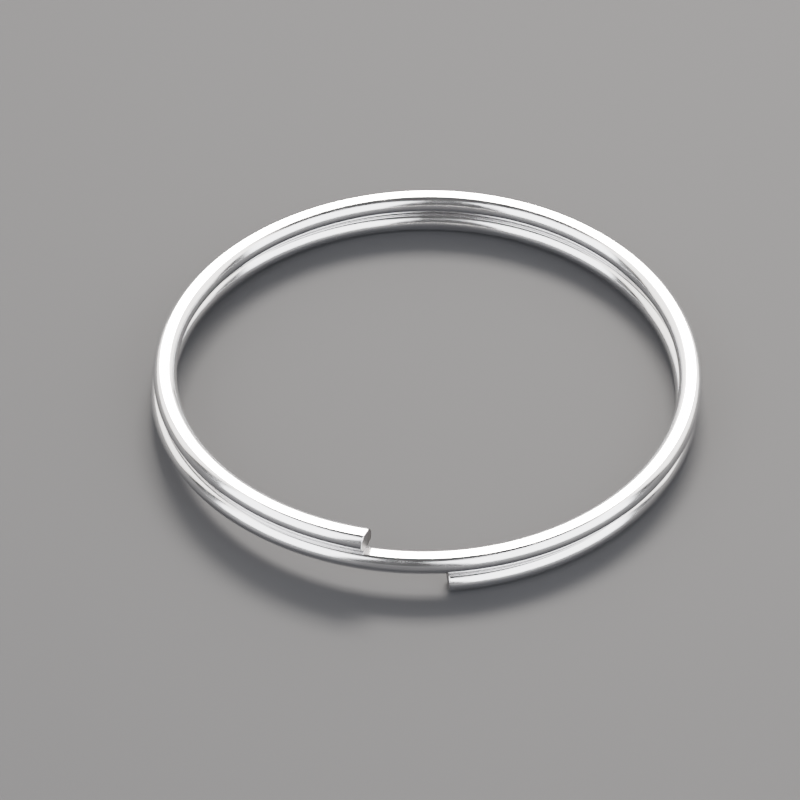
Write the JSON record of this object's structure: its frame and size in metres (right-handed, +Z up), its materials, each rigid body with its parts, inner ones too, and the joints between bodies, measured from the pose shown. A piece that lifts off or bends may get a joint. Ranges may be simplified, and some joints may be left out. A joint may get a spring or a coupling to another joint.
{
  "type": "split key ring",
  "caption": "Split key ring: spring wire with flat top and bottom faces and rounded flanks, coiled into overlapping turns with sheared ends that can be prised apart to slide a key on.",
  "frame": {"origin": "under the middle of the ring, on the surface that it lies on", "axes": "+Z is up out of the lying ring, -Y is the front, where both wire ends are, +X is to the right seen from the front"},
  "size_m": [0.032, 0.0322, 0.0036],
  "materials": {
    "wire": "bright drawn and tumbled, with fine lengthwise drawing lines"
  },
  "bodies": {
    "lower_end_arc": {"lower_end_arc": "wire"},
    "lower_right_back_arc": {"lower_right_back_arc": "wire"},
    "lower_left_back_arc": {"lower_left_back_arc": "wire"},
    "front_crossover_arc": {"front_crossover_arc": "wire"},
    "upper_right_back_arc": {"upper_right_back_arc": "wire"},
    "upper_left_back_arc": {"upper_left_back_arc": "wire"},
    "upper_end_arc": {"upper_end_arc": "wire"}
  },
  "joints": [
    {"name": "lower_turn_twist_1", "type": "hinge", "parent": "lower_end_arc", "child": "lower_right_back_arc", "pos_m": [0.01518, -0.00014, 0.00059], "axis": [0.002, 1, 0], "range_deg": [0, 1.26]},
    {"name": "lower_end_open", "type": "hinge", "parent": "lower_right_back_arc", "child": "lower_left_back_arc", "pos_m": [-0.0001, 0.01523, 0.00059], "axis": [-1, 0.0023, 0], "range_deg": [0, 2.82], "stiffness_Nm_per_rad": 1.09},
    {"name": "lower_turn_twist_2", "type": "hinge", "parent": "lower_left_back_arc", "child": "front_crossover_arc", "pos_m": [-0.01537, -0.00003, 0.00117], "axis": [0.002, -1, 0], "range_deg": [0, 2.07]},
    {"name": "upper_turn_twist_1", "type": "hinge", "parent": "front_crossover_arc", "child": "upper_right_back_arc", "pos_m": [0.01537, 0.00008, 0.0018], "axis": [0.002, 1, 0], "range_deg": [0, 2.43]},
    {"name": "upper_end_open", "type": "hinge", "parent": "upper_right_back_arc", "child": "upper_left_back_arc", "pos_m": [0.0001, 0.01545, 0.0018], "axis": [-1, 0.0023, 0], "range_deg": [0, 2.68], "stiffness_Nm_per_rad": 1.21},
    {"name": "upper_turn_twist_2", "type": "hinge", "parent": "upper_left_back_arc", "child": "upper_end_arc", "pos_m": [-0.01518, 0.00019, 0.00237], "axis": [0.002, -1, 0], "range_deg": [0, 0.96]}
  ],
  "couplings": [
    {"joint": "lower_turn_twist_1", "follows": "lower_end_open", "ratio": 0.4457},
    {"joint": "lower_turn_twist_2", "follows": "lower_end_open", "ratio": 0.7328},
    {"joint": "upper_turn_twist_1", "follows": "upper_end_open", "ratio": 0.9069},
    {"joint": "upper_turn_twist_2", "follows": "upper_end_open", "ratio": 0.3576}
  ]
}
